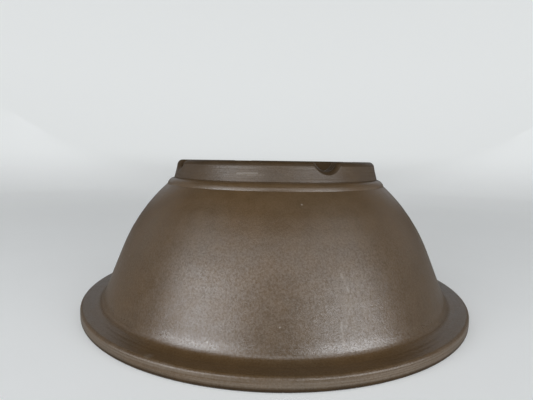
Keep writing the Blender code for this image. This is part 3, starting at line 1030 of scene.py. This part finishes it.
def build_floor(clay):
    """Floor slab: a disc with trimming lines, then the drain and tie-wire holes are cut."""
    sides = SEGMENTS // 2
    angle = np.arange(sides) * TURN / sides
    radii = np.arange(1, FLOOR_RINGS + 1) * FLOOR_RADIUS / FLOOR_RINGS
    r, turn = np.meshgrid(radii, angle, indexing="ij")
    inside_foot = smooth_band(r, *FLOOR_ZONE)
    high = FLOOR_HIGH_Z + inside_foot * turning_lines(FLOOR_HIGH_LINES, r, turn)
    low = FLOOR_LOW_Z + inside_foot * turning_lines(FLOOR_LOW_LINES, r, turn)
    spread = r + hand_wobble(0.5 * (high + low), turn) * r / FLOOR_RADIUS
    flat = np.stack([spread * np.sin(turn), -spread * np.cos(turn)], axis=-1).reshape(-1, 2)
    upper = np.column_stack([flat, high.ravel()])
    lower = np.column_stack([flat, low.ravel()])
    points = np.vstack([upper, lower, [[0, 0, FLOOR_HIGH_Z], [0, 0, FLOOR_LOW_Z]]])
    mesh = bpy.data.meshes.new("base_floor_fine")
    mesh.from_pydata(points.tolist(), [], disc_faces(len(radii), sides))
    set_marks(mesh, {"burnish": FLOOR_BURNISH, "turning": FLOOR_TURNING}, len(points))
    face_outwards(mesh)
    slab = link("base_floor_fine", mesh, clay)
    for number, bearing in enumerate(notch_bearings()):
        drain = bearing_point(bearing, DRAIN_PITCH, 0)
        tie = bearing_point(bearing + math.pi / NOTCH_COUNT, TIE_PITCH, 0)
        for cutter in (hole_cutter(f"drain_{number}", DRAIN_RADIUS, drain, DRAIN_SEGMENTS),
                       hole_cutter(f"tie_{number}", TIE_RADIUS, tie, TIE_SEGMENTS)):
            cut = slab.modifiers.new(cutter.name, "BOOLEAN")
            cut.operation = "DIFFERENCE"
            cut.solver = "EXACT"
            cut.object = cutter
    return apply_cuts(slab, FLOOR_SMOOTH)


def disc_faces(rings, sides):
    """Faces of a disc: ring quads on both sides, a fan round each centre, and the outer edge."""
    faces = []
    below = rings * sides
    centre = 2 * below
    for k in range(sides):
        after = (k + 1) % sides
        faces.append((centre, k, after))
        faces.append((centre + 1, below + after, below + k))
        for ring in range(rings - 1):
            at = ring * sides
            quad = (at + k, at + sides + k, at + sides + after, at + after)
            faces.append(quad)
            faces.append(tuple(below + v for v in reversed(quad)))
        edge = (rings - 1) * sides
        faces.append((edge + k, below + edge + k, below + edge + after, edge + after))
    return faces


def apply_cuts(made, degrees):
    """Replace an object's mesh by its evaluated one, and delete the cutters it used."""
    cutters = [modifier.object for modifier in made.modifiers if modifier.type == "BOOLEAN"]
    graph = bpy.context.evaluated_depsgraph_get()
    mesh = bpy.data.meshes.new_from_object(made.evaluated_get(graph))
    made.modifiers.clear()
    made.data = mesh
    smooth(mesh, degrees)
    for cutter in cutters:
        bpy.data.objects.remove(cutter, do_unlink=True)
    return made


# ---- screens and clips

def place_at_drain(mesh, angle):
    """Move a mesh made about the origin to the drain hole at a bearing."""
    place = Matrix.Translation(bearing_point(angle, DRAIN_PITCH, SCREEN_HIGH_Z))
    mesh.transform(place @ Matrix.Rotation(angle, 4, "Z"))


def build_screen(number, angle, plastic):
    """Moulded plastic screen: a fine square grid, its bars softened by a bevel."""
    lines = []
    for cell in range(SCREEN_CELLS + 1):
        middle = (cell - SCREEN_CELLS / 2) * SCREEN_PITCH
        lines += [middle - SCREEN_BAR / 2, middle + SCREEN_BAR / 2]
    bm = bmesh.new()
    grid = [[bm.verts.new((x, y, 0)) for y in lines] for x in lines]
    for i in range(len(lines) - 1):
        for j in range(len(lines) - 1):
            if i % 2 and j % 2:
                continue
            bm.faces.new((grid[i][j], grid[i + 1][j], grid[i + 1][j + 1], grid[i][j + 1]))
    extruded = bmesh.ops.extrude_face_region(bm, geom=bm.faces[:])
    moved = [item for item in extruded["geom"] if isinstance(item, bmesh.types.BMVert)]
    bmesh.ops.translate(bm, verts=moved, vec=(0, 0, SCREEN_LOW_Z - SCREEN_HIGH_Z))
    bmesh.ops.recalc_face_normals(bm, faces=bm.faces)
    sharp = [e for e in bm.edges if len(e.link_faces) == 2 and e.calc_face_angle() > SCREEN_SHARP]
    bmesh.ops.bevel(bm, geom=sharp, offset=SCREEN_BEVEL, segments=1, affect="EDGES",
                    clamp_overlap=True)
    mesh = bpy.data.meshes.new(f"drain_screen_{number}")
    bm.to_mesh(mesh)
    bm.free()
    place_at_drain(mesh, angle)
    smooth(mesh, SCREEN_SMOOTH)
    return link(f"drain_screen_{number}", mesh, plastic)


def clip_centre_line(bend_out):
    """The wire's path: leg, loop, crossing, loop, leg. bend_out swings the leg tips a little."""
    over = CLIP_HIGH_Z - WIRE_RADIUS - SCREEN_HIGH_Z
    under = CLIP_LOW_Z + WIRE_RADIUS - SCREEN_HIGH_Z
    half = [
        (-CLIP_LEG_REACH, bend_out, over, 0),
        (-CLIP_LEG_X, 0, over, CLIP_LEG_ROUND),
        (-CLIP_LEG_X, 0, under, CLIP_LEG_ROUND),
        (-CLIP_LOOP_X, -CLIP_LOOP_Y, under, CLIP_LOOP_ROUND),
        (-CLIP_LOOP_X, CLIP_LOOP_Y, under, CLIP_LOOP_ROUND),
    ]
    corners = half + [(-x, -y, z, fillet) for x, y, z, fillet in reversed(half)]
    points = []
    for index, (x, y, z, fillet) in enumerate(corners):
        here = Vector((x, y, z))
        if not fillet:
            points.append(here)
            continue
        before = Vector(corners[index - 1][:3])
        after = Vector(corners[index + 1][:3])
        points += [Vector(p) for p in fillet_arc(before, here, after, fillet, WIRE_SPACING)]
    return points


def wire_mesh(name, path):
    """Round wire along a path, with eased ends; rings turn as little as possible along it."""
    after_start = path[0] + (path[1] - path[0]).normalized() * WIRE_END
    before_end = path[-1] + (path[-2] - path[-1]).normalized() * WIRE_END
    spots = [path[0], after_start, *path[1:-1], before_end, path[-1]]
    shares = [*WIRE_END_SHARES, *[1.0] * (len(path) - 2), *reversed(WIRE_END_SHARES)]
    across = Vector((0, 0, 1)).cross(spots[1] - spots[0]).normalized()
    rings = []
    for index, (spot, share) in enumerate(zip(spots, shares)):
        ahead = spots[min(index + 1, len(spots) - 1)]
        behind = spots[max(index - 1, 0)]
        tangent = (ahead - behind).normalized()
        across = (across - tangent * across.dot(tangent)).normalized()
        other = tangent.cross(across)
        rings.append([spot + across * point.x + other * point.y
                      for point in circle(WIRE_RADIUS * share, 0, WIRE_SIDES)])
    return ring_mesh(name, rings)


def build_clip(number, angle, wire):
    """Bent wire clip that holds a screen over its drain hole."""
    mesh = wire_mesh(f"wire_clip_{number}", clip_centre_line(CLIP_LEANS[number - 1] * MM))
    place_at_drain(mesh, angle)
    smooth(mesh, WIRE_SMOOTH)
    return link(f"wire_clip_{number}", mesh, wire)


# ---- stage

def build_stage():
    """Pale floor that curves up into a low surround, all the way round."""
    outline = [(STAGE_FLAT * k / STAGE_FLAT_STEPS, 0.0) for k in range(1, STAGE_FLAT_STEPS + 1)]
    outline += [polar((STAGE_FLAT, STAGE_CURVE), STAGE_CURVE,
                      math.pi / 2 * (k / STAGE_CURVE_STEPS - 1))
                for k in range(1, STAGE_CURVE_STEPS + 1)]
    outline += [(STAGE_FLAT + STAGE_CURVE, STAGE_CURVE + STAGE_RIM_STEP * k)
                for k in range(1, STAGE_RIM_STEPS + 1)]
    rings = [circle(r, z, STAGE_SIDES) for r, z in outline]
    mesh = ring_mesh("studio_floor", rings, lid=False)
    mesh.shade_smooth()
    link("studio_floor", mesh, studio_surface())


def studio_surface():
    """Matt pale floor; the surround looks pale to the camera without lighting the pot."""
    n = Nodes("pale_studio")
    place = n.coordinates()
    height = place["Z"]
    reach = n.vector("LENGTH", n.place)["Value"]
    ray = n.add("ShaderNodeLightPath").outputs
    mirrored = n.math("MULTIPLY", ray["Is Glossy Ray"], MIRROR_DIM)

    colour = n.mix(n.noise(*FLOOR_NOISE), *FLOOR_COLOURS)
    colour = n.mix(n.ramp(height, 0.0, STAGE_BLEND_Z), colour, SURROUND_GREY)
    under_lamps = n.ramp(place["Y"], LAMP_SHADE_FROM, LAMP_SHADE_TO, 0.0, LAMP_SHADE)
    for share in (under_lamps, mirrored):
        colour = n.mix(share, colour, STAGE_SHADE)

    seen = n.math("ADD", n.ramp(height, 0.0, STAGE_BLEND_Z, FLOOR_LIFT, SURROUND_GLOW),
                  n.ramp(reach, FAR_LIFT_FROM, FAR_LIFT_TO, 0.0, FAR_LIFT))
    level = n.ramp(height, 0.0, STAGE_BLEND_Z, FLOOR_GLOW, 0.0)
    level = n.math("MULTIPLY", level, n.math("SUBTRACT", 1.0, mirrored))
    glow = n.math("MULTIPLY_ADD", seen, ray["Is Camera Ray"], level)
    clear_of_pot = n.ramp(reach, RIM_RADIUS - UNDER_POT_SOFT, RIM_RADIUS)
    n.put(GLOW_COLOUR, n.surface.inputs["Emission Color"])
    n.put(n.math("MULTIPLY", glow, clear_of_pot), n.surface.inputs["Emission Strength"])
    n.put(0.0, n.surface.inputs["Specular IOR Level"])
    return n.finish(colour, n.ramp(n.noise(*FLOOR_GRAIN), 0.2, 0.8, *FLOOR_ROUGHNESS))


def area_light(name, bearing, elevation, width, height, power):
    """Soft light aimed at the pot; angles in degrees, bearings from -Y towards +X."""
    tilt = math.radians(elevation)
    away = bearing_point(math.radians(bearing), math.cos(tilt), math.sin(tilt))
    data = bpy.data.lights.new(name, "AREA")
    data.shape = "RECTANGLE"
    data.size = 2 * LIGHT_DISTANCE * math.tan(math.radians(width) / 2)
    data.size_y = 2 * LIGHT_DISTANCE * math.tan(math.radians(height) / 2)
    data.energy = power
    data.color = LIGHT_COLOUR
    lamp = add_object(name, data)
    lamp.location = Vector((0, 0, POT_HEIGHT * LIGHT_AIM)) + away * LIGHT_DISTANCE
    lamp.rotation_mode = "QUATERNION"
    lamp.rotation_quaternion = (-away).to_track_quat("-Z", "Y")
    lamp.visible_camera = False


def build_lights():
    """The studio's area lights and its faint sky."""
    for light in LIGHTS:
        area_light(*light)
    world = bpy.data.worlds.new("studio")
    bpy.context.scene.world = world
    world.use_nodes = True
    sky = world.node_tree.nodes["Background"]
    sky.inputs["Color"].default_value = WORLD_COLOUR
    sky.inputs["Strength"].default_value = WORLD_STRENGTH


def build_camera():
    """Phone-like wide view from just above the foot's height."""
    forward = Vector((math.sin(CAMERA_YAW) * math.cos(CAMERA_PITCH),
                      math.cos(CAMERA_YAW) * math.cos(CAMERA_PITCH), math.sin(CAMERA_PITCH)))
    level_right = Vector((math.cos(CAMERA_YAW), -math.sin(CAMERA_YAW), 0))
    level_up = level_right.cross(forward)
    right = math.cos(CAMERA_ROLL) * level_right + math.sin(CAMERA_ROLL) * level_up
    up = right.cross(forward)
    data = bpy.data.cameras.new("camera")
    data.sensor_width = SENSOR_WIDTH
    data.lens = LENS
    camera = add_object("camera", data)
    place = Vector((0, -CAMERA_DISTANCE, CAMERA_HEIGHT)) * RIM_RADIUS
    turn = Matrix((right, up, -forward)).transposed().to_4x4()
    camera.matrix_world = Matrix.Translation(place) @ turn
    bpy.context.scene.camera = camera


# ---- build

def main():
    clay = stoneware()
    plastic = screen_plastic()
    wire = clip_wire()
    pieces = [
        (build_rim(clay), "rim_flange", "stoneware"),
        (build_wall(clay), "bowl_wall", "stoneware"),
        (build_bead(clay), "foot_bead", "stoneware"),
        (build_foot(clay), "foot_ring", "stoneware"),
        (build_floor(clay), "base_floor", "stoneware"),
    ]
    for number, angle in enumerate(notch_bearings(), start=1):
        screen = build_screen(number, angle, plastic)
        clip = build_clip(number, angle, wire)
        pieces.append((screen, f"drain_mesh_{number}", "screen_plastic"))
        pieces.append((clip, f"mesh_clip_{number}", "clip_wire"))
    for piece, node, slot in pieces:
        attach(piece, "root")
        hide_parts(node)
    build_stage()
    build_lights()
    build_camera()
    bpy.context.scene.view_settings.view_transform = "Standard"


main()
